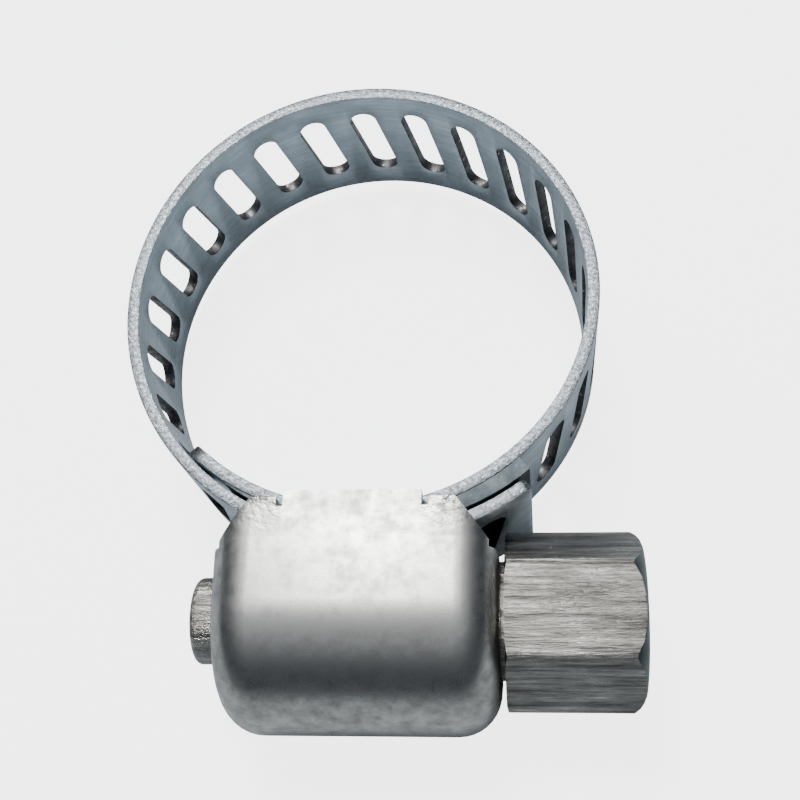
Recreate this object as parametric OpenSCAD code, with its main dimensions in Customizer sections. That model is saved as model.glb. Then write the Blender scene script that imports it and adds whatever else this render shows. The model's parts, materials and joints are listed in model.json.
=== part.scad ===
// Miniature worm-drive hose clamp: perforated band, drawn housing, saddle and hex-head worm screw.
// Frame: +Z is the hose axis, +X runs along the screw towards its head, -Y points at the housing.
// The origin is the centre of the hose seat, in the middle of the band's width.

/* [Band] */
// Radius of the hose seat inside the band
seat_r = 10.2; // [10.1:0.05:10.3]
// Width of the band along the hose
band_w = 8; // [7.6:0.1:8]
// Thickness of the band strip
band_t = 0.55; // [0.5:0.01:0.56]
// Sideways shift of the outer run's arc, which makes the loop a spiral
spiral_shift = 0.7; // [0.68:0.01:0.72]
// Angle of the inner run's end, on the left of the housing
inner_end = 232; // [230:1:234]
// Angle of the outer run's free end, seen from its own arc's centre
free_end = 308; // [306:1:309]

/* [Slots] */
// Distance between slots along the strip, which is also the thread's pitch
pitch = 2.62; // [2.62:0.01:2.63]
// Width of a slot
slot_w = 1.3; // [1.2:0.05:1.35]
// Length of a slot across the band
slot_l = 5.2; // [4.8:0.1:5.4]
// Lean of the slots, to suit the thread
slot_lean = 10; // [8:1:12]
// Angle of the slot at the crown of the loop
crown_slot = 91; // [90.8:0.1:91.2]

/* [Housing] */
// Length of the housing along the screw
housing_l = 12.3; // [12.2:0.05:12.4]
// Outside radius of the housing's barrel
barrel_r = 5; // [4.95:0.05:5.1]
// Wall thickness of the housing
wall = 0.75; // [0.7:0.05:0.75]
// Radius of the housing's drawn corners
corner_r = 1.9; // [1.7:0.1:2]
// Distance of the screw's axis from the hose's axis
screw_y = 14.4; // [14.4:0.05:14.6]

/* [Screw] */
// Size of the hexagon head across its flats
head_flats = 7; // [6.9:0.1:7.5]
// Length of the hexagon head
head_l = 6; // [5.5:0.1:6.5]
// Outside radius of the worm thread
thread_r = 3; // [2.9:0.05:3]
// Radius of the worm's core
core_r = 2.2; // [2:0.05:2.25]
// Radius of the shank that turns in the housing's head-end hole
shank_r = 2.6; // [2.4:0.05:2.7]
// Radius of the journal that turns in the housing's far-end hole
journal_r = 1.6; // [1.4:0.05:1.7]
// Running clearance around the shank and the journal
running_gap = 0.06; // [0.04:0.01:0.08]

/* [Hidden] */
$fn = 96;
eps = 0.01;

// The loop is one spiral: an arc round the hose seat, then a larger arc that shares its tangent.
loop_r = seat_r + band_t / 2;
outer_r = loop_r + spiral_shift;
// Slots are counted from the crown slot, anticlockwise along the strip.
loop_step = pitch / loop_r * 180 / PI;
outer_step = pitch / outer_r * 180 / PI;
// The strip flexes at webs halfway between slots, three slots apart.
flex = [for (n = [-8.5 : 3 : 6.5]) n];
// The two arcs join at one of those webs.
join_slot = flex[4];
join = crown_slot + join_slot * loop_step;
outer_c = -spiral_shift * [cos(join), sin(join)];
function loop_angle(n) = crown_slot + n * loop_step;
function outer_angle(n) = join + (n - join_slot) * outer_step;
flex_gap = 0.08;
worm_slot = 13;

screw_gap = 0.1;
head_gap = 0.2;
inner_l = housing_l - 2 * wall;
inner_half_w = barrel_r - wall;
shoulder_y = 10.1;
mouth_y = 12.1;

saddle_from = 238;
saddle_to = 311;
saddle_clear = 0.15;

thread_l = 9.2;
collar_l = 0.5;
collar_r = 2.9;
thread_steps = 36;
thread_slices = 50;
crest_share = 0.23;
root_share = 0.42;
flare_r = 1.93;
flare_l = 1.25;
driver_w = 1.2;
driver_l = 4.8;
driver_deep = 2.2;
dish_r = 2.75;
dish_deep = 0.6;

// ---- Band ----

// A length of strip, bent to radius r round c
module bent_strip(c, r, from, to, t = band_t, w = band_w) {
    translate(c)
        rotate([0, 0, from])
            rotate_extrude(angle = to - from)
                translate([r - t / 2, -w / 2])
                    square([t, w]);
}

module slot_outline() {
    straight = slot_l - slot_w;
    square([slot_w, straight], center = true);
    for (end = [-1, 1])
        translate([0, end * straight / 2])
            circle(d = slot_w);
}

// A slot's hole at an angle on an arc, leaning with the thread
module slot_cut(c, r, angle) {
    translate(c)
        rotate([0, 0, angle])
            translate([r - 1, 0, 0])
                rotate([-slot_lean, 0, 0])
                    rotate([90, 0, 90])
                        linear_extrude(2)
                            slot_outline();
}

// The strip between two angles on the loop's arc, with the slots from first to last
module loop_strip(from, to, first, last) {
    color("lightsteelblue")
        difference() {
            bent_strip([0, 0], loop_r, from, to);
            for (n = [first : last])
                slot_cut([0, 0], loop_r, loop_angle(n));
        }
}

// The same on the outer arc
module outer_strip(from, to, first, last) {
    color("lightsteelblue")
        difference() {
            bent_strip(outer_c, outer_r, from, to);
            for (n = [first : last])
                slot_cut(outer_c, outer_r, outer_angle(n));
        }
}

// The strip between two flexing webs of the loop, three slots long
module loop_link(a) {
    half_gap = flex_gap / 2 / loop_r * 180 / PI;
    loop_strip(loop_angle(a) + half_gap, loop_angle(a + 3) - half_gap, a + 0.5, a + 2.5);
}

outer_half_gap = flex_gap / 2 / outer_r * 180 / PI;
first_slot = flex[0] - 0.5;
last_slot = 15;

module band_inner_run() {
    loop_strip(inner_end - 360, loop_angle(flex[0]) - flex_gap / 2 / loop_r * 180 / PI,
               first_slot, first_slot);
}

module band_right_flank() { loop_link(flex[0]); }
module band_right_shoulder() { loop_link(flex[1]); }
module band_crown() { loop_link(flex[2]); }
module band_left_shoulder() { loop_link(flex[3]); }

module band_left_flank() {
    outer_strip(join + outer_half_gap, outer_angle(flex[5]) - outer_half_gap,
                flex[4] + 0.5, flex[5] - 0.5);
}

module band_free_run() {
    outer_strip(outer_angle(flex[5]) + outer_half_gap, free_end, flex[5] + 0.5, last_slot);
}

// ---- Saddle ----

// The wedge-shaped plate that fills the space between the two runs under the worm
module saddle_plate() {
    reach = 14;
    color("gray")
        intersection() {
            difference() {
                translate([each outer_c, -band_w / 2])
                    cylinder(r = outer_r - band_t / 2 - saddle_clear, h = band_w);
                translate([0, 0, -band_w])
                    cylinder(r = seat_r + band_t + eps, h = 2 * band_w);
            }
            translate([0, 0, -band_w])
                linear_extrude(2 * band_w)
                    polygon([[0, 0], reach * [cos(saddle_from), sin(saddle_from)],
                             1.5 * reach * [cos(270), sin(270)],
                             reach * [cos(saddle_to), sin(saddle_to)]]);
        }
}

// ---- Housing ----

module rounded_rectangle(l, w, r) {
    square([l - 2 * r, w], center = true);
    square([l, w - 2 * r], center = true);
    for (x = [-1, 1], y = [-1, 1])
        translate([x * (l / 2 - r), y * (w / 2 - r)])
            circle(r = r);
}

// A trough: half a barrel round the screw's axis, carried up as straight walls
module trough(l, half_w, r, top) {
    translate([0, -screw_y, 0])
        rotate([0, 90, 0])
            rotate([0, 0, 180])
                rotate_extrude(angle = 180)
                    intersection() {
                        rotate(90)
                            rounded_rectangle(l, 2 * half_w, r);
                        translate([0, -l])
                            square(2 * l);
                    }
    translate([0, -screw_y, 0])
        rotate([-90, 0, 0])
            linear_extrude(top)
                rounded_rectangle(l, 2 * half_w, r);
}

// The side walls' outline, with bevelled corners, shoulders and a crimped tab in the middle
module side_outline() {
    half_l = housing_l / 2;
    bevel_x = 5.35;
    tab_x = 2.95;
    notch_x = 3.25;
    notch_y = 10.5;
    polygon([[-half_l, -25], [half_l, -25], [half_l, -12.3], [bevel_x, -shoulder_y],
             [notch_x, -shoulder_y], [notch_x - 0.1, -notch_y], [tab_x, -notch_y],
             [tab_x, -9], [-tab_x, -9], [-tab_x, -notch_y], [0.1 - notch_x, -notch_y],
             [-notch_x, -shoulder_y], [-bevel_x, -shoulder_y], [-half_l, -12.3]]);
}

// The tab's folded edge, which lies on the inner run's edge
module crimp(side) {
    fold_gap = 0.04;
    fold_t = barrel_r - band_w / 2 - fold_gap;
    tab_half = 2.95;
    z0 = side > 0 ? band_w / 2 + fold_gap : -barrel_r;
    intersection() {
        translate([-tab_half, -12, z0])
            cube([2 * tab_half, 4, fold_t]);
        translate([0, 0, z0])
            difference() {
                cylinder(r = seat_r + band_t, h = fold_t);
                translate([0, 0, -1])
                    cylinder(r = seat_r, h = fold_t + 2);
            }
    }
}

module housing() {
    top = screw_y - 9;
    color("silver")
        difference() {
            union() {
                intersection() {
                    difference() {
                        trough(housing_l, barrel_r, corner_r, top);
                        trough(inner_l, inner_half_w, corner_r - wall, top + 1);
                    }
                    translate([0, 0, -2 * barrel_r])
                        linear_extrude(4 * barrel_r)
                            side_outline();
                }
                crimp(1);
                crimp(-1);
            }
            // The band's way in and out
            translate([-housing_l, -mouth_y, -inner_half_w])
                cube([2 * housing_l, mouth_y, 2 * inner_half_w]);
            // The hose's own space
            translate([0, 0, -2 * barrel_r])
                cylinder(r = seat_r, h = 4 * barrel_r);
            translate([0, -screw_y, 0])
                rotate([0, 90, 0]) {
                    cylinder(r = shank_r + running_gap, h = housing_l);
                    translate([0, 0, -housing_l])
                        cylinder(r = journal_r + running_gap, h = housing_l);
                }
        }
}

// ---- Screw ----

// The worm's outline square to its axis: the core with one tooth
module worm_section() {
    crest = crest_share * 180;
    root = root_share * 180;
    function radius_at(a) = let (off = min(a, 360 - a))
        off <= crest ? thread_r
        : off >= root ? core_r
        : thread_r - (thread_r - core_r) * (off - crest) / (root - crest);
    polygon([for (i = [0 : thread_steps - 1])
             let (a = i * 360 / thread_steps) radius_at(a) * [cos(a), sin(a)]]);
}

module worm_thread() {
    start = -thread_l / 2;
    mesh_x = outer_c.x + outer_r * cos(outer_angle(worm_slot));
    phase = 90 - 360 * (mesh_x - start) / pitch;
    translate([start, 0, 0])
        rotate([0, 90, 0])
            rotate([0, 0, phase])
                linear_extrude(thread_l, twist = -360 * thread_l / pitch, slices = thread_slices, $fn = 0)
                    worm_section();
}

module hexagon_head() {
    across = head_flats / cos(30);
    base_chamfer = 0.3;
    end_chamfer = 0.9;
    intersection() {
        rotate([0, 0, 33])
            cylinder(d = across, h = head_l, $fn = 6);
        rotate_extrude()
            polygon([[0, 0], [across / 2 - base_chamfer, 0], [across / 2 + 1, base_chamfer + 1],
                     [across / 2 + 1, head_l - end_chamfer - 1],
                     [across / 2 - end_chamfer, head_l], [0, head_l]]);
    }
}

module worm_screw() {
    half = housing_l / 2;
    head_x = half + head_gap;
    color("darkgray")
        translate([0, -screw_y, 0]) {
            worm_thread();
            rotate([0, 90, 0]) {
                // Journal, through the far wall and into the core
                translate([0, 0, -half - screw_gap - eps])
                    cylinder(r = journal_r, h = half + screw_gap - thread_l / 2 + 1);
                // Flare that keeps the screw in
                translate([0, 0, -half - screw_gap - flare_l])
                    rotate_extrude()
                        polygon([[0, 0], [flare_r - 0.3, 0], [flare_r, 0.3],
                                 [flare_r, flare_l], [0, flare_l]]);
                translate([0, 0, -thread_l / 2 - collar_l])
                    cylinder(r = collar_r, h = collar_l);
                // Shank
                translate([0, 0, thread_l / 2 - eps])
                    cylinder(r = shank_r, h = head_x - thread_l / 2 + 2 * eps);
                // Head, with a dished end and a blind driver slot
                translate([0, 0, head_x])
                    difference() {
                        hexagon_head();
                        translate([0, 0, head_l - dish_deep])
                            cylinder(r = dish_r, h = head_l);
                        translate([-driver_w / 2, -driver_l / 2, head_l - driver_deep])
                            cube([driver_w, driver_l, head_l]);
                    }
            }
        }
}

housing();
saddle_plate();
worm_screw();
band_inner_run();
band_right_flank();
band_right_shoulder();
band_crown();
band_left_shoulder();
band_left_flank();
band_free_run();
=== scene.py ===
import json
import math

import bpy
from mathutils import Matrix, Vector


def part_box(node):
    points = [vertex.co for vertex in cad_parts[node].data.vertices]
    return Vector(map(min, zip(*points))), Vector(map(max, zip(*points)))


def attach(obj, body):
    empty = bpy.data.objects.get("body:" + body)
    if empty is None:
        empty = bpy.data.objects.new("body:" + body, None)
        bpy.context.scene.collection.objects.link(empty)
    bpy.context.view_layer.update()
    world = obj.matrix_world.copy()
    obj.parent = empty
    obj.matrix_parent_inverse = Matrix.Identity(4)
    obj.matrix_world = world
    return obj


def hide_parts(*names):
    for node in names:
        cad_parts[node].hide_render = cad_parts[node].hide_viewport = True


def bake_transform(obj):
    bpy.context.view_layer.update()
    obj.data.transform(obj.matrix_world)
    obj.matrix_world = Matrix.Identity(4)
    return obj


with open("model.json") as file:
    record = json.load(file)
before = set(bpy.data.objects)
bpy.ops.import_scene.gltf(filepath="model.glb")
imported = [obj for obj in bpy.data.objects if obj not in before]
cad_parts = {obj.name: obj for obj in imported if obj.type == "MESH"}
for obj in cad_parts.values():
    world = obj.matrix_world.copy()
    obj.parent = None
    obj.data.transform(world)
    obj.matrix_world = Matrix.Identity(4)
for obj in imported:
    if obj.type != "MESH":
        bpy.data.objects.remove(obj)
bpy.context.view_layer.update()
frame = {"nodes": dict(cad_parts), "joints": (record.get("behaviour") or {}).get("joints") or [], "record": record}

bl_info = {
    "name": "Worm-Drive Hose Clamp",
    "version": (1, 0, 0),
    "blender": (4, 5, 0),
    "location": "View3D > Sidebar > Hose Clamp",
    "description": "Builds a miniature worm-drive hose clamp with a perforated band",
    "category": "Add Mesh",
}

# Pieces are modelled in millimetres and brought to metres when they are finished.
MM = 1000.0
MOUNTS = {mount["name"]: mount for mount in frame["record"]["mounts"]}
JOINTS = {joint["name"]: joint for joint in frame["joints"]}
SEAT_R = MOUNTS["hose_seat"]["dims"]["r_mm"]
SCREW_Y = JOINTS["screw_turn"]["pos_m"][1] * MM
HOUSING_LOW, HOUSING_HIGH = (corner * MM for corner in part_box("housing"))
CROWN_LOW, CROWN_HIGH = (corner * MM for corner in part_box("band_crown"))
SCREW_LOW, SCREW_HIGH = (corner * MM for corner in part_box("worm_screw"))
BAND_W = CROWN_HIGH.z - CROWN_LOW.z
HALF_L = HOUSING_HIGH.x
BARREL_R = HOUSING_HIGH.z

# An edge or face this near to a place, in millimetres, counts as being on it.
NEAR = 0.01


# ---- Sizes and colours a maker would change ----

class BandSizes(bpy.types.PropertyGroup):
    """Sizes of the perforated strip"""
    thickness: bpy.props.FloatProperty(
        name="Thickness", description="Thickness of the strip", default=0.00055, unit="LENGTH")
    pitch: bpy.props.FloatProperty(
        name="Slot pitch", description="Distance between slots along the strip",
        default=0.00262, precision=5, unit="LENGTH")
    slot_width: bpy.props.FloatProperty(
        name="Slot width", description="Width of a slot", default=0.0013, unit="LENGTH")
    slot_length: bpy.props.FloatProperty(
        name="Slot length", description="Length of a slot across the band",
        default=0.0052, unit="LENGTH")
    slot_lean: bpy.props.FloatProperty(
        name="Slot lean", description="Lean of the slots, to suit the thread",
        default=math.radians(10), subtype="ANGLE")
    spiral_shift: bpy.props.FloatProperty(
        name="Spiral shift", description="How much larger the outer run's arc is",
        default=0.0007, precision=5, unit="LENGTH")
    crown_angle: bpy.props.FloatProperty(
        name="Crown slot", description="Angle of the slot at the top of the loop",
        default=math.radians(91), subtype="ANGLE")
    tongue_angle: bpy.props.FloatProperty(
        name="Tongue end", description="Angle of the inner run's end",
        default=math.radians(224), subtype="ANGLE")
    free_angle: bpy.props.FloatProperty(
        name="Free end", description="Angle of the free end about the outer arc's centre",
        default=math.radians(308), subtype="ANGLE")
    edge_round: bpy.props.FloatProperty(
        name="Edge rounding", description="Rounding of slit and punched edges",
        default=0.00006, precision=5, unit="LENGTH")


class HousingSizes(bpy.types.PropertyGroup):
    """Sizes of the drawn housing"""
    wall: bpy.props.FloatProperty(
        name="Wall", description="Thickness of the drawn sheet", default=0.00075,
        precision=5, unit="LENGTH")
    corner: bpy.props.FloatProperty(
        name="Corner radius", description="Radius of the drawn corners",
        default=0.0019, unit="LENGTH")
    shoulder: bpy.props.FloatProperty(
        name="Shoulder height", description="Distance of the shoulders from the hose's axis",
        default=0.0101, unit="LENGTH")
    mouth: bpy.props.FloatProperty(
        name="Mouth height", description="Distance of the band's openings from the hose's axis",
        default=0.0121, unit="LENGTH")
    tab_top: bpy.props.FloatProperty(
        name="Tab height", description="Distance of the crimped tab's top from the hose's axis",
        default=0.0098, unit="LENGTH")
    tab_half: bpy.props.FloatProperty(
        name="Tab half width", description="Half the width of the crimped tab",
        default=0.00295, unit="LENGTH")
    edge_round: bpy.props.FloatProperty(
        name="Edge rounding", description="Rounding of the sheared edges",
        default=0.0001, precision=5, unit="LENGTH")


class ScrewSizes(bpy.types.PropertyGroup):
    """Sizes of the worm screw"""
    flats: bpy.props.FloatProperty(
        name="Across flats", description="Size of the hexagon head across its flats",
        default=0.007, unit="LENGTH")
    head_length: bpy.props.FloatProperty(
        name="Head length", description="Length of the hexagon head", default=0.006, unit="LENGTH")
    end_round: bpy.props.FloatProperty(
        name="End rounding", description="Rounding of the head's outer end",
        default=0.00105, precision=5, unit="LENGTH")
    dish_radius: bpy.props.FloatProperty(
        name="Dish radius", description="Radius of the dish in the head's end",
        default=0.00275, precision=5, unit="LENGTH")
    thread_radius: bpy.props.FloatProperty(
        name="Thread radius", description="Outside radius of the worm thread",
        default=0.003, unit="LENGTH")
    core_radius: bpy.props.FloatProperty(
        name="Core radius", description="Radius of the worm's core", default=0.0022, unit="LENGTH")
    shank_radius: bpy.props.FloatProperty(
        name="Shank radius", description="Radius of the shank", default=0.0026, unit="LENGTH")
    journal_radius: bpy.props.FloatProperty(
        name="Journal radius", description="Radius of the far journal",
        default=0.0016, unit="LENGTH")
    flare_radius: bpy.props.FloatProperty(
        name="Flare radius", description="Radius of the flare that keeps the screw in",
        default=0.00193, precision=5, unit="LENGTH")


class Finishes(bpy.types.PropertyGroup):
    """Colours of the steels"""
    band: bpy.props.FloatVectorProperty(
        name="Band", description="Colour of the rolled strip",
        default=(0.60, 0.68, 0.74), subtype="COLOR", min=0, max=1)
    rim: bpy.props.FloatVectorProperty(
        name="Slit edge", description="Colour of the strip's slit edges",
        default=(0.22, 0.24, 0.26), subtype="COLOR", min=0, max=1)
    # Near black: painted shade inside the slots.
    punched: bpy.props.FloatVectorProperty(
        name="Punched wall", description="Colour of the walls of the slots",
        default=(0.10, 0.10, 0.105), subtype="COLOR", min=0, max=1)
    housing: bpy.props.FloatVectorProperty(
        name="Housing", description="Colour of the drawn housing",
        default=(0.52, 0.51, 0.49), subtype="COLOR", min=0, max=1)
    # Near black: painted shade for the shadow on the saddle plate between the runs.
    saddle: bpy.props.FloatVectorProperty(
        name="Saddle", description="Colour of the saddle plate",
        default=(0.055, 0.065, 0.07), subtype="COLOR", min=0, max=1)
    screw: bpy.props.FloatVectorProperty(
        name="Screw", description="Colour of the screw", default=(0.54, 0.52, 0.48),
        subtype="COLOR", min=0, max=1)
    # Dark: painted shade on the head's end faces and chamfers.
    turned: bpy.props.FloatVectorProperty(
        name="Turned end", description="Colour of the head's turned ends",
        default=(0.13, 0.15, 0.15), subtype="COLOR", min=0, max=1)
    # Near black: painted shade inside the head's dish and slot.
    recess: bpy.props.FloatVectorProperty(
        name="Recess", description="Colour inside the head's dish",
        default=(0.12, 0.12, 0.10), subtype="COLOR", min=0, max=1)
    floor: bpy.props.FloatVectorProperty(
        name="Floor", description="Colour of the floor", default=(0.30, 0.33, 0.35),
        subtype="COLOR", min=0, max=1)


# ---- Modelling helpers ----

def clear_selection():
    if bpy.context.object and bpy.context.object.mode != "OBJECT":
        bpy.ops.object.mode_set(mode="OBJECT")
    bpy.ops.object.select_all(action="DESELECT")


def make_active(piece):
    clear_selection()
    piece.select_set(True)
    bpy.context.view_layer.objects.active = piece


def place_mesh(piece):
    """Puts the object's turn, size and place into its mesh."""
    make_active(piece)
    bpy.ops.object.transform_apply(location=True, rotation=True, scale=True)


def select_in(piece, kind, test):
    """Selects a piece's faces, edges or vertices where test is true, and enters edit mode."""
    make_active(piece)
    bpy.ops.object.mode_set(mode="EDIT")
    bpy.ops.mesh.select_mode(type=kind)
    bpy.ops.mesh.select_all(action="DESELECT")
    bpy.ops.object.mode_set(mode="OBJECT")
    mesh = piece.data
    if kind == "FACE":
        for face in mesh.polygons:
            face.select = test(face)
    elif kind == "EDGE":
        for edge in mesh.edges:
            ends = [mesh.vertices[i].co for i in edge.vertices]
            edge.select = test(ends[0], ends[1])
    else:
        for vertex in mesh.vertices:
            vertex.select = test(vertex.co)
    bpy.ops.object.mode_set(mode="EDIT")


def leave_edit():
    bpy.ops.object.mode_set(mode="OBJECT")


def with_modifier(piece, kind, **settings):
    """Adds a modifier with these settings and applies it."""
    make_active(piece)
    modifier = piece.modifiers.new(kind.title(), kind)
    for name, value in settings.items():
        setattr(modifier, name, value)
    bpy.ops.object.modifier_apply(modifier=modifier.name)


def cut_with(piece, cutter, operation="DIFFERENCE"):
    """Cuts, joins or trims a piece with another solid, which is used up."""
    with_modifier(piece, "BOOLEAN", object=cutter, operation=operation, solver="EXACT")
    bpy.data.objects.remove(cutter)


def copy_of(piece):
    twin = piece.copy()
    twin.data = piece.data.copy()
    bpy.context.scene.collection.objects.link(twin)
    return twin


def joined(pieces):
    clear_selection()
    for piece in pieces:
        piece.select_set(True)
    bpy.context.view_layer.objects.active = pieces[0]
    bpy.ops.object.join()
    return bpy.context.object


def tidy_mesh(piece, gap=0.002, fill=False):
    """Merges doubles, closes open ends if asked, and points the faces outwards."""
    make_active(piece)
    bpy.ops.object.mode_set(mode="EDIT")
    bpy.ops.mesh.select_all(action="SELECT")
    bpy.ops.mesh.remove_doubles(threshold=gap)
    if fill:
        bpy.ops.mesh.fill_holes(sides=0)
    bpy.ops.mesh.select_all(action="SELECT")
    bpy.ops.mesh.normals_make_consistent(inside=False)
    leave_edit()


def box_solid(low, high):
    bpy.ops.mesh.primitive_cube_add(size=1, location=(Vector(low) + Vector(high)) / 2)
    solid = bpy.context.object
    solid.scale = Vector(high) - Vector(low)
    place_mesh(solid)
    return solid


def bar_along_x(radius, start, end, sides, turn=0.0):
    """A round or hexagonal bar on the screw's axis, turned about it."""
    clear_selection()
    bpy.ops.mesh.primitive_cylinder_add(
        vertices=sides, radius=radius, depth=end - start,
        location=((start + end) / 2, SCREW_Y, 0), rotation=(0, math.pi / 2, 0))
    bar = bpy.context.object
    place_mesh(bar)
    if turn:
        bar.matrix_world = (Matrix.Translation((0, SCREW_Y, 0)) @ Matrix.Rotation(turn, 4, "X")
                            @ Matrix.Translation((0, -SCREW_Y, 0)))
        place_mesh(bar)
    return bar


def round_edges(piece, test, width, segments):
    """Rounds the edges for whose two ends test is true."""
    select_in(piece, "EDGE", test)
    bpy.ops.mesh.bevel(offset=width, segments=segments, affect="EDGES", profile=0.5)
    leave_edit()


def soften(piece, width, sharper_than):
    """Rounds every edge that is sharper than an angle in degrees."""
    with_modifier(piece, "BEVEL", width=width, segments=2, limit_method="ANGLE",
                  angle_limit=math.radians(sharper_than))


def finish_piece(piece, name, materials, smooth):
    """Brings a piece to metres, smooths it and gives it its name, slot and materials."""
    piece.scale = (1 / MM, 1 / MM, 1 / MM)
    place_mesh(piece)
    bpy.ops.object.shade_smooth_by_angle(angle=math.radians(smooth))
    piece.name = name
    piece.data.name = name
    slots = piece.data.materials
    while len(slots) < len(materials):
        slots.append(None)
    for i, material in enumerate(materials):
        slots[i] = material


# ---- Finishes ----

def new_group(name, inputs, outputs):
    """A shader group with named sockets, and its input and output nodes."""
    group = bpy.data.node_groups.new(name, "ShaderNodeTree")
    for label, kind, value in inputs:
        socket = group.interface.new_socket(label, in_out="INPUT", socket_type=kind)
        socket.default_value = value
    for label, kind in outputs:
        group.interface.new_socket(label, in_out="OUTPUT", socket_type=kind)
    return group, group.nodes.new("NodeGroupInput"), group.nodes.new("NodeGroupOutput")


def math_node(tree, operation, a, b=None, clamp=False):
    """One sum on one or two inputs, each a socket or a number."""
    node = tree.nodes.new("ShaderNodeMath")
    node.operation = operation
    node.use_clamp = clamp
    for socket, value in zip(node.inputs, (a, b)):
        if value is None:
            continue
        if isinstance(value, (int, float)):
            socket.default_value = value
        else:
            tree.links.new(value, socket)
    return node.outputs[0]


def mix_colour(tree, factor, a, b):
    """Mixes two colours, each a socket or a plain RGBA tuple."""
    node = tree.nodes.new("ShaderNodeMix")
    node.data_type = "RGBA"
    tree.links.new(factor, node.inputs["Factor"])
    for socket, value in ((node.inputs[6], a), (node.inputs[7], b)):
        if isinstance(value, tuple):
            socket.default_value = value
        else:
            tree.links.new(value, socket)
    return node.outputs[2]


def noise_node(tree, vector, scale, detail, roughness):
    node = tree.nodes.new("ShaderNodeTexNoise")
    node.inputs["Detail"].default_value = detail
    node.inputs["Roughness"].default_value = roughness
    if isinstance(scale, (int, float)):
        node.inputs["Scale"].default_value = scale
    else:
        tree.links.new(scale, node.inputs["Scale"])
    tree.links.new(vector, node.inputs["Vector"])
    return node.outputs["Fac"]


def range_node(tree, value, low, high, out_low=0.0, out_high=1.0):
    """Brings the range from low to high to the one from out_low to out_high."""
    node = tree.nodes.new("ShaderNodeMapRange")
    tree.links.new(value, node.inputs["Value"])
    for label, number in (("From Min", low), ("From Max", high),
                          ("To Min", out_low), ("To Max", out_high)):
        node.inputs[label].default_value = number
    return node.outputs["Result"]


def group_node(tree, name, place, **values):
    """Places a shared group in a material, with the material's own values."""
    node = tree.nodes.new("ShaderNodeGroup")
    node.node_tree = bpy.data.node_groups[name]
    tree.links.new(place, node.inputs["Vector"])
    for label, value in values.items():
        node.inputs[label.replace("_", " ").title()].default_value = value
    return node.outputs


def rgba(colour, share=1.0):
    """A colour as a socket takes it, darkened to a share of itself."""
    return (*[c * share for c in colour], 1.0)


def make_grain_group():
    """Fine pits and cloudy patches, as on sheet that has been handled and tumbled."""
    group, given, result = new_group(
        "Metal Grain",
        [("Vector", "NodeSocketVector", (0, 0, 0)),
         ("Grain Scale", "NodeSocketFloat", 9000.0),
         ("Cloud Scale", "NodeSocketFloat", 500.0)],
        [("Grain", "NodeSocketFloat"), ("Cloud", "NodeSocketFloat"), ("Speck", "NodeSocketFloat")])
    fine = noise_node(group, given.outputs["Vector"], given.outputs["Grain Scale"], 5.0, 0.65)
    cloud = noise_node(group, given.outputs["Vector"], given.outputs["Cloud Scale"], 5.0, 0.6)
    group.links.new(fine, result.inputs["Grain"])
    group.links.new(range_node(group, cloud, 0.35, 0.65), result.inputs["Cloud"])
    group.links.new(range_node(group, fine, 0.60, 0.72), result.inputs["Speck"])


def make_line_group():
    """Straight drawn or rolled lines: noise stretched by three scales along the axes."""
    group, given, result = new_group(
        "Drawn Lines",
        [("Vector", "NodeSocketVector", (0, 0, 0)),
         ("Stretch", "NodeSocketVector", (1, 1, 1))],
        [("Line", "NodeSocketFloat"), ("Band", "NodeSocketFloat")])
    stretch = group.nodes.new("ShaderNodeVectorMath")
    stretch.operation = "MULTIPLY"
    group.links.new(given.outputs["Vector"], stretch.inputs[0])
    group.links.new(given.outputs["Stretch"], stretch.inputs[1])
    fine = noise_node(group, stretch.outputs[0], 3.0, 6.0, 0.7)
    broad = noise_node(group, stretch.outputs[0], 0.8, 2.0, 0.5)
    group.links.new(range_node(group, fine, 0.36, 0.64), result.inputs["Line"])
    group.links.new(range_node(group, broad, 0.35, 0.65), result.inputs["Band"])


def make_crimp_group():
    """Tool marks where the housing's walls were squeezed onto the band, and painted shade along their top edges.

    Both fade out over Depth below Edge. The marks are rough and only beside the tab; the painted shade is an even
    darkening along the whole top edge, standing in for the shade over the curved tab.
    """
    group, given, result = new_group(
        "Crimp Marks And Shade",
        [("Vector", "NodeSocketVector", (0, 0, 0)),
         ("Edge", "NodeSocketFloat", -0.0102),
         ("Depth", "NodeSocketFloat", 0.0016)],
        [("Height", "NodeSocketFloat"), ("Mark", "NodeSocketFloat")])
    tab_side = (0.0026, 0.0034)
    # Painted shade: an even darkening along the walls' top edges, standing in for the shade over the curved tab.
    tab_shade_share = 0.45
    split = group.nodes.new("ShaderNodeSeparateXYZ")
    group.links.new(given.outputs["Vector"], split.inputs[0])
    below = math_node(group, "SUBTRACT", given.outputs["Edge"], split.outputs["Y"])
    fade = math_node(group, "DIVIDE", below, given.outputs["Depth"])
    near = math_node(group, "SUBTRACT", 1.0, fade, clamp=True)
    beside = range_node(group, math_node(group, "ABSOLUTE", split.outputs["X"]), *tab_side)
    region = math_node(group, "MULTIPLY", near, beside)
    rough = noise_node(group, given.outputs["Vector"], 1900.0, 4.0, 0.6)
    pits = math_node(group, "MULTIPLY", region, range_node(group, rough, 0.40, 0.56))
    # Tool marks beside the tab, with painted shade along the whole top edge.
    mark_and_shade = math_node(group, "MAXIMUM", pits, math_node(group, "MULTIPLY", near, tab_shade_share))
    group.links.new(math_node(group, "MULTIPLY", region, rough), result.inputs["Height"])
    group.links.new(mark_and_shade, result.inputs["Mark"])


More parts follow.
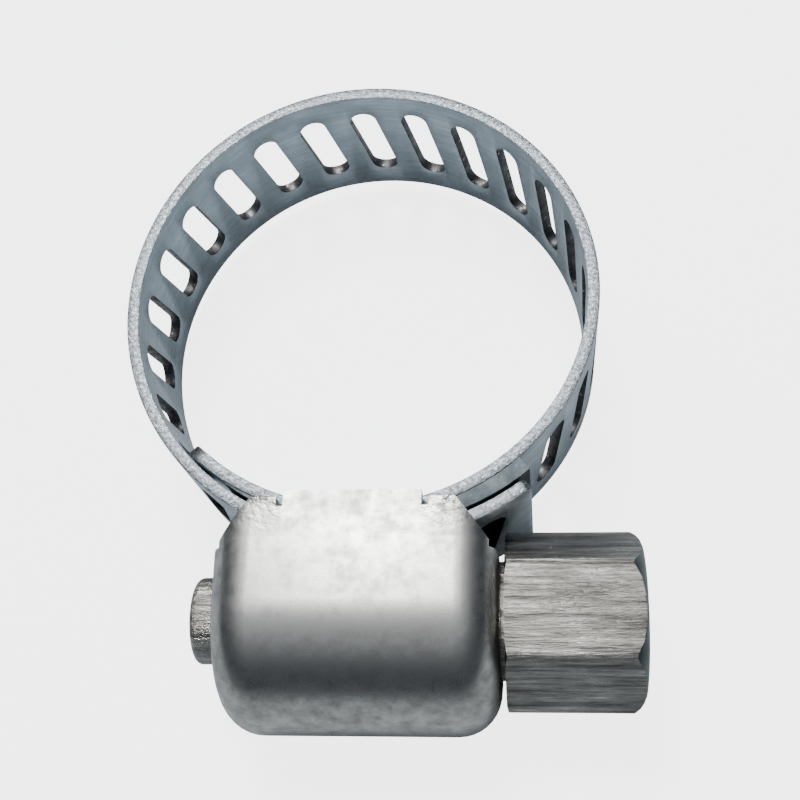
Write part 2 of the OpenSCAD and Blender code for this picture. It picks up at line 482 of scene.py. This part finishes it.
def steel(name, colour, dark, roughness, bump, grain_scale=9000.0, cloud_scale=500.0,
          stretch=None, line_share=0.0, speck_colour=None, crimped=False):
    """A steel with cloudy tone, grain and, where asked for, drawn lines, specks or crimp marks with painted shade.

    dark is the share of the colour left in the cloudy patches, roughness the smoothest and
    roughest values, and bump the strength and the height in millimetres.
    """
    grain_under_lines = 0.3
    band_roughness = 0.10
    # Tone of the crimp marks and of the painted shade along the crimped edges.
    wear_and_shade_share = 0.16
    mark_height = 30.0
    material = bpy.data.materials.new(name)
    material.use_nodes = True
    tree = material.node_tree
    shader = tree.nodes["Principled BSDF"]
    shader.inputs["Metallic"].default_value = 1.0
    place = tree.nodes.new("ShaderNodeTexCoord").outputs["Object"]
    grain = group_node(tree, "Metal Grain", place,
                       grain_scale=grain_scale, cloud_scale=cloud_scale)
    tone = mix_colour(tree, grain["Cloud"], rgba(colour, dark), rgba(colour))
    height = grain["Grain"]
    smoothest, roughest = roughness
    rough = range_node(tree, grain["Cloud"], 0.0, 1.0, roughest, smoothest)
    if stretch:
        lines = group_node(tree, "Drawn Lines", place, stretch=stretch)
        tone = mix_colour(tree, lines["Line"], rgba(colour, 1 - line_share), tone)
        height = math_node(tree, "ADD", math_node(tree, "MULTIPLY", height, grain_under_lines),
                           lines["Line"])
        rough = math_node(tree, "ADD", rough,
                          math_node(tree, "MULTIPLY", lines["Band"], band_roughness))
    if speck_colour:
        tone = mix_colour(tree, grain["Speck"], tone, rgba(speck_colour))
    if crimped:
        # Darkens the crimped top edges with tool marks and painted shade.
        marks = group_node(tree, "Crimp Marks And Shade", place)
        tone = mix_colour(tree, marks["Mark"], tone, rgba(colour, wear_and_shade_share))
        height = math_node(tree, "ADD", height,
                           math_node(tree, "MULTIPLY", marks["Height"], mark_height))
    tree.links.new(tone, shader.inputs["Base Color"])
    tree.links.new(rough, shader.inputs["Roughness"])
    strength, distance = bump
    bumps = tree.nodes.new("ShaderNodeBump")
    bumps.inputs["Strength"].default_value = strength
    bumps.inputs["Distance"].default_value = distance / MM
    tree.links.new(height, bumps.inputs["Height"])
    tree.links.new(bumps.outputs["Normal"], shader.inputs["Normal"])
    return material


def make_finishes(colours):
    make_grain_group()
    make_line_group()
    make_crimp_group()
    return {
        "band": steel("Rolled Strip", colours.band, 0.72, (0.24, 0.40), (0.35, 0.025),
                      grain_scale=7000.0, cloud_scale=420.0, stretch=(120, 120, 1700),
                      line_share=0.32),
        "rim": steel("Slit Edge", colours.rim, 0.42, (0.28, 0.50), (0.80, 0.050),
                     grain_scale=6500.0, cloud_scale=6000.0, speck_colour=(0.66, 0.66, 0.63)),
        # The slots' walls are painted near black as shade.
        "punched": steel("Punched Wall Painted Shade", colours.punched, 0.60, (0.40, 0.60), (0.60, 0.040),
                         grain_scale=4000.0, cloud_scale=1500.0, speck_colour=(0.62, 0.56, 0.48)),
        # The housing's crimped edges get tool marks and painted shade.
        "housing": steel("Drawn Housing", colours.housing, 0.62, (0.27, 0.42), (0.30, 0.008),
                         cloud_scale=1500.0, crimped=True),
        # The saddle plate's near-black tone is painted shade.
        "saddle": steel("Saddle Plate Painted Shade", colours.saddle, 0.60, (0.48, 0.62), (0.40, 0.030),
                        speck_colour=(0.16, 0.17, 0.17)),
        "screw": steel("Drawn Hexagon Bar", colours.screw, 0.62, (0.22, 0.36), (0.70, 0.060),
                       cloud_scale=380.0, stretch=(70, 900, 900), line_share=0.82),
        # The head's end faces and chamfers are painted dark as shade.
        "turned": steel("Turned End Painted Shade", colours.turned, 0.75, (0.28, 0.42), (0.30, 0.030)),
        # The dish and driver slot are painted near black as shade.
        "recess": steel("Turned Recess Painted Shade", colours.recess, 0.60, (0.35, 0.50), (0.40, 0.040)),
    }


# The finished materials by name, filled by main.
FINISH = {}
STRIP_FINISHES = ("band", "rim", "punched")
RIM, PUNCHED_SHADE = 1, 2
HEAD_FINISHES = ("screw", "turned", "recess")
TURNED_SHADE, RECESS_SHADE = 1, 2


# ---- Band ----

# Slots are counted along the strip from the crown. A web lies half a slot past each.
FIRST_SLOT = -9
LAST_SLOT = 15
JOIN_WEB = 3.5
WORM_SLOT = 13

# How many straight steps make the bend of one pitch, and the length of a step elsewhere.
UNIT_STEPS = 8
BEND_STEP = 0.33

# Edges of the strip that are sharper than this, in degrees, are rounded.
STRIP_SHARP = 50


class BandPlan:
    """Where the strip lies: the loop's arc up to the join, then the wider outer arc."""

    def __init__(self, sizes):
        self.t = sizes.thickness * MM
        self.pitch = sizes.pitch * MM
        self.loop_r = SEAT_R + self.t / 2
        shift = sizes.spiral_shift * MM
        self.outer_r = self.loop_r + shift
        self.crown = sizes.crown_angle
        self.join = self.crown + JOIN_WEB * self.pitch / self.loop_r
        self.outer_c = Vector((-shift * math.cos(self.join), -shift * math.sin(self.join), 0))
        self.tongue_slot = (sizes.tongue_angle - math.tau - self.crown) * self.loop_r / self.pitch
        self.free_slot = JOIN_WEB + (sizes.free_angle - self.join) * self.outer_r / self.pitch


def flat_unit(sizes, plan):
    """One pitch of flat strip with its slot, open at both ends.

    The slot's corners take just under half its width each, so that they never meet.
    """
    clear_selection()
    half = plan.pitch / 2
    unit = box_solid((-half, -plan.t / 2, -BAND_W / 2), (half, plan.t / 2, BAND_W / 2))
    slot_w = sizes.slot_width * MM
    slot_l = sizes.slot_length * MM
    punch = box_solid((-slot_w / 2, -1, -slot_l / 2), (slot_w / 2, 1, slot_l / 2))
    nearly_half = 0.498
    round_edges(punch, lambda a, b: abs(a.y - b.y) > 1, slot_w * nearly_half, 10)
    punch.rotation_euler = (0, sizes.slot_lean, 0)
    place_mesh(punch)
    cut_with(unit, punch)
    for key in STRIP_FINISHES:
        unit.data.materials.append(FINISH[key])
    # The slit edges get their own finish; the slots' walls get a near-black painted shade.
    for face in unit.data.polygons:
        if abs(face.normal.y) < 0.5:
            on_rim = abs(face.center.z) > BAND_W / 2 - NEAR
            face.material_index = RIM if on_rim else PUNCHED_SHADE
    open_ends(unit, half)
    soften(unit, sizes.edge_round * MM, STRIP_SHARP)
    return sliced(unit, -half, half, UNIT_STEPS)


def open_ends(strip, half, side=0):
    """Removes the end faces of a straight strip, on one side or on both."""
    select_in(strip, "FACE", lambda face: abs(face.normal.x) > 0.9
              and abs(face.center.x) > half - NEAR and face.center.x * side >= 0)
    bpy.ops.mesh.delete(type="FACE")
    leave_edit()


def sliced(strip, start, end, parts):
    """Cuts a straight strip across at even steps, so that it can be bent."""
    make_active(strip)
    bpy.ops.object.mode_set(mode="EDIT")
    for i in range(1, parts):
        bpy.ops.mesh.select_all(action="SELECT")
        bpy.ops.mesh.bisect(plane_co=(start + (end - start) * i / parts, 0, 0),
                            plane_no=(1, 0, 0))
    leave_edit()
    return strip


def plain_run(length, plan, sizes, tip, round_tip):
    """A straight stretch with no slots. Its tip, at the low (-1) or high (1) end, is rounded."""
    clear_selection()
    half = length / 2
    run = box_solid((-half, -plan.t / 2, -BAND_W / 2), (half, plan.t / 2, BAND_W / 2))
    round_edges(run, lambda a, b: abs(a.y - b.y) > 0.1 and a.x * tip > half - NEAR,
                round_tip, 8)
    for key in STRIP_FINISHES:
        run.data.materials.append(FINISH[key])
    for face in run.data.polygons:
        if abs(face.normal.y) < 0.5:
            face.material_index = RIM
    open_ends(run, half, -tip)
    soften(run, sizes.edge_round * MM, STRIP_SHARP)
    return sliced(run, -half, half, max(2, round(length / BEND_STEP)))


def slot_row(unit, first, last, plan):
    """The flat strip from the web before slot first to the web after slot last."""
    row = copy_of(unit)
    row.location.x = first * plan.pitch
    place_mesh(row)
    with_modifier(row, "ARRAY", count=last - first + 1, use_relative_offset=False,
                  use_constant_offset=True, constant_offset_displace=(plan.pitch, 0, 0))
    return row


def bend_round(strip, radius, centre, zero_angle, zero_x):
    """Bends a straight strip to an arc. The strip's place zero_x comes to zero_angle."""
    strip.location.x = -zero_x
    place_mesh(strip)
    spots = [vertex.co.x for vertex in strip.data.vertices]
    with_modifier(strip, "SIMPLE_DEFORM", deform_method="BEND", deform_axis="Z",
                  angle=(max(spots) - min(spots)) / radius)
    strip.matrix_world = (Matrix.Translation(centre)
                          @ Matrix.Rotation(zero_angle + math.pi / 2, 4, "Z")
                          @ Matrix.Translation((0, -radius, 0)))
    place_mesh(strip)
    return strip


def on_loop(strip, plan):
    return bend_round(strip, plan.loop_r, Vector((0, 0, 0)), plan.crown, 0)


def on_outer(strip, plan):
    return bend_round(strip, plan.outer_r, plan.outer_c, plan.join, JOIN_WEB * plan.pitch)


class CLAMP_OT_band(bpy.types.Operator):
    """Punches, bends and places the strip, in stretches that end at webs"""
    bl_idname = "clamp.band"
    bl_label = "Band"

    def execute(self, context):
        sizes = context.scene.clamp_band
        plan = BandPlan(sizes)
        unit = flat_unit(sizes, plan)
        tongue_web = FIRST_SLOT - 0.5
        tongue_l = (tongue_web - plan.tongue_slot) * plan.pitch
        tongue = plain_run(tongue_l, plan, sizes, tip=-1, round_tip=1.2)
        tongue.location.x = tongue_web * plan.pitch - tongue_l / 2
        place_mesh(tongue)
        free_web = LAST_SLOT + 0.5
        free_l = (plan.free_slot - free_web) * plan.pitch
        tip = plain_run(free_l, plan, sizes, tip=1, round_tip=0.35)
        tip.location.x = free_web * plan.pitch + free_l / 2
        place_mesh(tip)
        # Name, the bodies before and after, the web between them, the parts, the CAD nodes.
        stretches = [
            ("band_tongue", "housing_body", "right_flank", -8.5,
             [on_loop(tongue, plan), on_loop(slot_row(unit, FIRST_SLOT, -8, plan), plan)],
             ["band_inner_run"]),
            ("band_right_flank_strip", "right_flank", "right_shoulder", -5.5,
             [on_loop(slot_row(unit, -7, -5, plan), plan)], ["band_right_flank"]),
            ("band_right_shoulder_strip", "right_shoulder", "crown", -2.5,
             [on_loop(slot_row(unit, -4, -2, plan), plan)], ["band_right_shoulder"]),
            ("band_crown_strip", "crown", "left_shoulder", 0.5,
             [on_loop(slot_row(unit, -1, 1, plan), plan)], ["band_crown"]),
            ("band_left_shoulder_strip", "left_shoulder", "left_flank", 3.5,
             [on_loop(slot_row(unit, 2, 3, plan), plan),
              on_outer(slot_row(unit, 4, 4, plan), plan)],
             ["band_left_shoulder"]),
            ("band_free_run_strip", "left_flank", "free_run", 6.5,
             [on_outer(slot_row(unit, 5, LAST_SLOT, plan), plan), on_outer(tip, plan)],
             ["band_left_flank", "band_free_run"]),
        ]
        finishes = [FINISH[key] for key in STRIP_FINISHES]
        for name, before, after, web, parts, nodes in stretches:
            strip = joined(parts)
            tidy_mesh(strip, fill=True)
            finish_piece(strip, name, finishes, smooth=30)
            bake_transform(strip)
            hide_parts(*nodes)
        bpy.data.objects.remove(unit)
        return {"FINISHED"}


# ---- Housing ----

class CLAMP_OT_housing(bpy.types.Operator):
    """Draws the housing from sheet, shears its outline and pierces its ends"""
    bl_idname = "clamp.housing"
    bl_label = "Housing"

    def execute(self, context):
        sizes = context.scene.clamp_housing
        screw = context.scene.clamp_screw
        wall = sizes.wall * MM
        tab_top = -sizes.tab_top * MM
        shell = self.drawn_shell(sizes.corner * MM, tab_top)
        with_modifier(shell, "SOLIDIFY", thickness=wall, offset=-1, use_even_offset=True)
        self.shear(shell, sizes, wall)
        hole_gap = 0.06
        inner = 0.2
        outer = HALF_L + 1
        cut_with(shell, bar_along_x(screw.shank_radius * MM + hole_gap, inner, outer, 64))
        cut_with(shell, bar_along_x(screw.journal_radius * MM + hole_gap, -outer, -inner, 48))
        soften(shell, sizes.edge_round * MM, 40)
        tidy_mesh(shell, 0.0005)
        finish_piece(shell, "housing_shell", [FINISH["housing"]], smooth=32)
        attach(shell, "housing_body")
        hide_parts("housing")
        return {"FINISHED"}

    def drawn_shell(self, corner, top):
        """The outside of the trough: a spun barrel below the screw, straight walls above."""
        clear_selection()
        bpy.ops.mesh.primitive_plane_add(size=1, location=(0, SCREW_Y, 0),
                                         rotation=(math.pi / 2, 0, 0))
        shell = bpy.context.object
        shell.scale = (2 * HALF_L, 2 * BARREL_R, 1)
        place_mesh(shell)
        make_active(shell)
        bpy.ops.object.mode_set(mode="EDIT")
        bpy.ops.mesh.select_all(action="SELECT")
        bpy.ops.mesh.bevel(offset=corner, segments=9, affect="VERTICES")
        bpy.ops.mesh.select_all(action="SELECT")
        bpy.ops.mesh.delete(type="ONLY_FACE")
        bpy.ops.mesh.select_all(action="SELECT")
        bpy.ops.mesh.bisect(plane_co=(0, SCREW_Y, 0), plane_no=(0, 0, 1))
        leave_edit()
        select_in(shell, "EDGE", lambda a, b: True)
        bpy.ops.mesh.extrude_edges_move(
            TRANSFORM_OT_translate={"value": (0, top - SCREW_Y, 0)})
        leave_edit()
        select_in(shell, "EDGE", lambda a, b: abs(a.y - SCREW_Y) < 0.001
                  and abs(b.y - SCREW_Y) < 0.001 and min(a.z, b.z) > -0.001)
        bpy.ops.mesh.spin(steps=44, angle=-math.pi, center=(0, SCREW_Y, 0), axis=(1, 0, 0))
        leave_edit()
        if min(vertex.co.y for vertex in shell.data.vertices) > SCREW_Y - 1:
            raise RuntimeError("the barrel was spun the wrong way")
        tidy_mesh(shell)
        return shell

    def shear(self, shell, sizes, wall):
        """Cuts the side walls' outline, their notches and the band's openings."""
        shoulder = -sizes.shoulder * MM
        mouth = -sizes.mouth * MM
        tab = sizes.tab_half * MM
        far = HALF_L + 2
        above = -5
        wide = 9
        notch_w = 0.3
        notch_deep = 0.4
        for side in (-1, 1):
            low, high = sorted((side * tab, side * far))
            cut_with(shell, box_solid((low, shoulder, -wide), (high, above, wide)))
            low, high = sorted((side * tab, side * (tab + notch_w)))
            cut_with(shell, box_solid((low, shoulder - notch_deep, -wide), (high, above, wide)))
        inside = BARREL_R - wall + NEAR
        cut_with(shell, box_solid((-far, mouth, -inside), (far, above, inside)))
        below_mouth = 0.2
        inwards = 0.8
        self.slope_corners(shell, Vector((HALF_L, mouth - below_mouth, 0)),
                           Vector((HALF_L - inwards, shoulder, 0)))
        self.crimp_lips(shell, tab)

    def slope_corners(self, shell, start, end):
        """Shears the corner off both ends of the side walls, along a line from start to end."""
        slope = end - start
        for side in (-1, 1):
            make_active(shell)
            bpy.ops.object.mode_set(mode="EDIT")
            bpy.ops.mesh.select_all(action="SELECT")
            bpy.ops.mesh.bisect(plane_co=(side * start.x, start.y, 0),
                                plane_no=(side * slope.y, -slope.x, 0),
                                use_fill=True, clear_outer=True)
            leave_edit()

    def crimp_lips(self, shell, tab):
        """Thickens each tab inwards, where it is crimped against the band's edge."""
        band_gap = 0.045
        sunk = 0.3
        half_l = tab - 0.1
        below_seat = 0.6
        above_seat = 0.3
        for side in (-1, 1):
            low, high = sorted((side * (BAND_W / 2 + band_gap), side * (BARREL_R - sunk)))
            lip = box_solid((-half_l, -SEAT_R - below_seat, low),
                            (half_l, -SEAT_R + above_seat, high))
            round_edges(lip, lambda a, b: abs(a.x - b.x) > 1, 0.15, 3)
            cut_with(shell, lip, "UNION")


# ---- Saddle ----

class CLAMP_OT_saddle(bpy.types.Operator):
    """Gives the saddle plate between the two runs its near-black finish, which is painted shade"""
    bl_idname = "clamp.saddle"
    bl_label = "Saddle plate"

    def execute(self, context):
        plate = frame["nodes"]["saddle_plate"]
        plate.data.materials.clear()
        plate.data.materials.append(FINISH["saddle"])
        return {"FINISHED"}


# ---- Screw ----

class CLAMP_OT_screw(bpy.types.Operator):
    """Makes the hexagon head, shank, worm, journal and flare"""
    bl_idname = "clamp.screw"
    bl_label = "Worm screw"

    def execute(self, context):
        sizes = context.scene.clamp_screw
        for name, piece, finishes, smooth in (
                ("screw_head", self.head(sizes), HEAD_FINISHES, 28),
                ("screw_shank", self.shank(sizes), ["screw"], 35),
                ("screw_worm", self.worm(sizes, context.scene.clamp_band), ["screw"], 35),
                ("screw_flare", self.flare(sizes), ["screw"], 35)):
            finish_piece(piece, name, [FINISH[key] for key in finishes], smooth)
            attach(piece, "screw")
            if name == "screw_worm":
                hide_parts("worm_screw")
        return {"FINISHED"}

    def head(self, sizes):
        """A hexagon with turned ends, a dish in its outer end and a driver slot in the dish."""
        end = SCREW_HIGH.x
        start = end - sizes.head_length * MM
        corner_r = sizes.flats * MM / 2 / math.cos(math.pi / 6)
        corner_round = 0.32
        back_round = 0.35
        spare = 0.03
        head = bar_along_x(corner_r, start, end, 6, math.radians(3))
        round_edges(head, lambda a, b: abs(a.x - b.x) > 1, corner_round, 4)
        turning = bar_along_x(corner_r + spare, start, end, 96)
        round_edges(turning, lambda a, b: min(a.x, b.x) > end - NEAR, sizes.end_round * MM, 6)
        round_edges(turning, lambda a, b: max(a.x, b.x) < start + NEAR, back_round, 3)
        cut_with(head, turning, "INTERSECT")
        dish_r = sizes.dish_radius * MM
        dish_deep = 0.6
        dish = bar_along_x(dish_r, end - dish_deep, end + 1, 72)
        round_edges(dish, lambda a, b: max(a.x, b.x) < end - dish_deep + NEAR, 0.2, 3)
        cut_with(head, dish)
        slot_deep = 2.2
        slot_l = 4.8
        slot_w = 1.2
        cut_with(head, box_solid((end - slot_deep, SCREW_Y - slot_l / 2, -slot_w / 2),
                                 (end + 1, SCREW_Y + slot_l / 2, slot_w / 2)))
        for key in HEAD_FINISHES:
            head.data.materials.append(FINISH[key])
        # The dish and the driver slot get a near-black painted shade.
        deepest = end - slot_deep - 0.1
        for face in head.data.polygons:
            spot = face.center - Vector((0, SCREW_Y, 0))
            within = math.hypot(spot.y, spot.z) < dish_r + NEAR
            if within and deepest < spot.x < end - 2 * NEAR:
                face.material_index = RECESS_SHADE
            # End faces and chamfers get the dark painted shade.
            elif abs(face.normal.x) > 0.2:
                face.material_index = TURNED_SHADE
        soften(head, 0.05, 40)
        tidy_mesh(head, 0.0005)
        return head

    def shank(self, sizes):
        """The plain bar from inside the housing to the head."""
        start = HALF_L - 1.6
        end = SCREW_HIGH.x - sizes.head_length * MM + 0.3
        shank = bar_along_x(sizes.shank_radius * MM, start, end, 64)
        round_edges(shank, lambda a, b: max(a.x, b.x) < start + 0.1, 0.12, 2)
        return shank

    def worm(self, sizes, band):
        """The worm: one tooth's profile turned along the screw, with its core and collar."""
        plan = BandPlan(band)
        pitch = plan.pitch
        core = sizes.core_radius * MM
        crest = sizes.thread_radius * MM
        half_crest = 0.30
        half_foot = 0.55
        mesh_angle = plan.join + (WORM_SLOT - JOIN_WEB) * pitch / plan.outer_r
        mesh_x = plan.outer_c.x + plan.outer_r * math.cos(mesh_angle)
        passes = 3
        share = 5 / 6
        first = -passes * share * pitch / 2
        foot = SCREW_Y + core
        clear_selection()
        bpy.ops.mesh.primitive_plane_add(size=1, location=(first, foot, 0))
        worm = bpy.context.object
        place_mesh(worm)
        bpy.ops.object.mode_set(mode="EDIT")
        bpy.ops.mesh.select_all(action="SELECT")
        bpy.ops.mesh.delete(type="ONLY_FACE")
        leave_edit()
        select_in(worm, "EDGE", lambda a, b: abs(a.y - b.y) < NEAR and a.y < foot)
        bpy.ops.mesh.delete(type="EDGE")
        leave_edit()
        for vertex in worm.data.vertices:
            side = 1 if vertex.co.x > first else -1
            top = vertex.co.y > foot
            vertex.co = (first + side * (half_crest if top else half_foot),
                         SCREW_Y + (crest if top else core), 0)
        for side in (-1, 1):
            select_in(worm, "VERT", lambda co, s=side: (co.x - first) * s > half_crest + 0.1)
            bpy.ops.mesh.extrude_vertices_move(
                TRANSFORM_OT_translate={"value": (side * (pitch / 2 - half_foot), 0, 0)})
            leave_edit()
        worm.location.y = -SCREW_Y
        place_mesh(worm)
        with_modifier(worm, "SCREW", axis="X", angle=math.tau * share, steps=36,
                      render_steps=36, screw_offset=pitch * share, iterations=passes,
                      use_merge_vertices=True)
        in_mesh = math.tau * (first - mesh_x) / pitch
        worm.matrix_world = (Matrix.Translation((0, SCREW_Y, 0))
                             @ Matrix.Rotation(in_mesh, 4, "X"))
        place_mesh(worm)
        tidy_mesh(worm, 0.01, fill=True)
        under_thread = 0.02
        core_bar = bar_along_x(core - under_thread, -4.9, HALF_L - 1.5, 48)
        collar_r = 2.9
        collar = bar_along_x(collar_r, -5.1, -4.6, 64)
        round_edges(collar, lambda a, b: abs(a.x - b.x) < NEAR, 0.12, 2)
        return joined([worm, core_bar, collar])

    def flare(self, sizes):
        """The journal and the flared end that keeps the screw in the housing."""
        start = SCREW_LOW.x
        end = -HALF_L - 0.1
        journal = bar_along_x(sizes.journal_radius * MM, start + 0.4, -4.8, 48)
        head = bar_along_x(sizes.flare_radius * MM, start, end, 56)
        round_edges(head, lambda a, b: max(a.x, b.x) < start + NEAR, 0.32, 5)
        round_edges(head, lambda a, b: min(a.x, b.x) > end - NEAR, 0.1, 2)
        middle = 0.05
        select_in(head, "FACE", lambda face: face.normal.x < -0.9
                  and abs(face.center.y - SCREW_Y) < middle and abs(face.center.z) < middle)
        hollow_edge = 0.75
        bpy.ops.mesh.inset(thickness=hollow_edge, depth=0)
        bpy.ops.mesh.inset(thickness=0.25, depth=-0.3)
        leave_edit()
        return joined([head, journal])


# ---- Stage ----

class CLAMP_OT_stage(bpy.types.Operator):
    """Sets the floor, the lights and the camera"""
    bl_idname = "clamp.stage"
    bl_label = "Stage"

    def execute(self, context):
        self.floor(context.scene.clamp_finishes)
        self.world()
        self.lamp("Key", (-0.03, 0.12, 0.28), 0.10, 1.7)
        self.lamp("Fill", (-0.20, 0.20, 0.20), 0.10, 0.25)
        self.camera(context.scene)
        return {"FINISHED"}

    def floor(self, colours):
        """A pale floor, lit up for the camera and dim in the steel's reflections."""
        reflected, shown = 0.05, 3.8
        clear_selection()
        bpy.ops.mesh.primitive_plane_add(size=1.6, location=(0, 0, HOUSING_LOW.z / MM))
        floor = bpy.context.object
        place_mesh(floor)
        floor.name = "studio_floor"
        material = bpy.data.materials.new("Pale Floor")
        material.use_nodes = True
        tree = material.node_tree
        shader = tree.nodes["Principled BSDF"]
        place = tree.nodes.new("ShaderNodeTexCoord").outputs["Object"]
        cloud = noise_node(tree, place, 6.0, 2.0, 0.5)
        patch_share = 0.985
        tone = mix_colour(tree, cloud, rgba(colours.floor, patch_share), rgba(colours.floor))
        tree.links.new(tone, shader.inputs["Base Color"])
        shader.inputs["Roughness"].default_value = 0.9
        shader.inputs["Emission Color"].default_value = (1, 1, 1, 1)
        seen = tree.nodes.new("ShaderNodeLightPath").outputs["Is Camera Ray"]
        tree.links.new(range_node(tree, seen, 0.0, 1.0, reflected, shown),
                       shader.inputs["Emission Strength"])
        floor.data.materials.append(material)

    def world(self):
        """A soft sky, bright overhead and dim at the sides, that the camera sees as plain white."""
        world = bpy.data.worlds.new("Soft Studio")
        bpy.context.scene.world = world
        world.use_nodes = True
        tree = world.node_tree
        direction = tree.nodes.new("ShaderNodeTexCoord").outputs["Generated"]
        split = tree.nodes.new("ShaderNodeSeparateXYZ")
        tree.links.new(direction, split.inputs[0])
        ramp = tree.nodes.new("ShaderNodeValToRGB")
        low, high = ramp.color_ramp.elements
        low.position = 0.05
        low.color = (0.03, 0.04, 0.05, 1)
        high.position = 0.98
        high.color = (0.62, 0.66, 0.70, 1)
        middle = ramp.color_ramp.elements.new(0.60)
        middle.color = (0.085, 0.10, 0.12, 1)
        tree.links.new(split.outputs["Z"], ramp.inputs["Fac"])
        seen = tree.nodes.new("ShaderNodeLightPath").outputs["Is Camera Ray"]
        white = (2.6, 2.6, 2.6, 1)
        shown = mix_colour(tree, seen, ramp.outputs["Color"], white)
        tree.links.new(shown, tree.nodes["Background"].inputs["Color"])

    def lamp(self, name, place, size, power):
        """A round soft light aimed at the middle between the hose and the screw."""
        lamp = bpy.data.lights.new(name, "AREA")
        lamp.shape = "DISK"
        lamp.size = size
        lamp.energy = power
        holder = bpy.data.objects.new(name, lamp)
        bpy.context.scene.collection.objects.link(holder)
        spot = Vector(place)
        aim = Vector((0, SCREW_Y / 2 / MM, 0)) - spot
        holder.matrix_world = (Matrix.Translation(spot)
                               @ aim.to_track_quat("-Z", "Y").to_matrix().to_4x4())

    def camera(self, scene):
        """A camera above and in front of the screw, rolled a little, looking at target."""
        azimuth = math.radians(16.2)
        elevation = math.radians(68.5)
        roll = math.radians(-16.1)
        distance = 0.063
        target = Vector((0.00142, -0.00390, 0.0))
        back = Vector((math.cos(elevation) * math.sin(azimuth),
                       -math.cos(elevation) * math.cos(azimuth), math.sin(elevation)))
        level = Vector((math.cos(azimuth), math.sin(azimuth), 0))
        up = back.cross(level)
        right = level * math.cos(roll) + up * math.sin(roll)
        turn = Matrix((right, back.cross(right), back)).transposed().to_4x4()
        data = bpy.data.cameras.new("Camera")
        data.sensor_width = 36
        data.lens = 60.03
        data.clip_start = 0.001
        data.clip_end = 10
        holder = bpy.data.objects.new("Camera", data)
        scene.collection.objects.link(holder)
        holder.matrix_world = Matrix.Translation(target + back * distance) @ turn
        scene.camera = holder


# ---- Panel and registration ----

class CLAMP_PT_panel(bpy.types.Panel):
    """Lists the clamp's pieces and sizes"""
    bl_label = "Hose Clamp"
    bl_idname = "CLAMP_PT_panel"
    bl_space_type = "VIEW_3D"
    bl_region_type = "UI"
    bl_category = "Hose Clamp"

    def draw(self, context):
        layout = self.layout
        for operator in OPERATORS:
            layout.operator(operator.bl_idname)
        for group in SETTINGS:
            sizes = getattr(context.scene, group)
            box = layout.box()
            for name in sizes.__annotations__:
                box.prop(sizes, name)


OPERATORS = (CLAMP_OT_band, CLAMP_OT_housing, CLAMP_OT_saddle, CLAMP_OT_screw, CLAMP_OT_stage)
SETTINGS = {"clamp_band": BandSizes, "clamp_housing": HousingSizes,
            "clamp_screw": ScrewSizes, "clamp_finishes": Finishes}
CLASSES = (*SETTINGS.values(), *OPERATORS, CLAMP_PT_panel)


def register():
    for item in CLASSES:
        bpy.utils.register_class(item)
    for name, group in SETTINGS.items():
        setattr(bpy.types.Scene, name, bpy.props.PointerProperty(type=group))


def unregister():
    for name in SETTINGS:
        delattr(bpy.types.Scene, name)
    for item in reversed(CLASSES):
        bpy.utils.unregister_class(item)


def main():
    register()
    FINISH.update(make_finishes(bpy.context.scene.clamp_finishes))
    bpy.ops.clamp.band()
    bpy.ops.clamp.housing()
    bpy.ops.clamp.saddle()
    bpy.ops.clamp.screw()
    bpy.ops.clamp.stage()


if __name__ == "__main__":
    main()
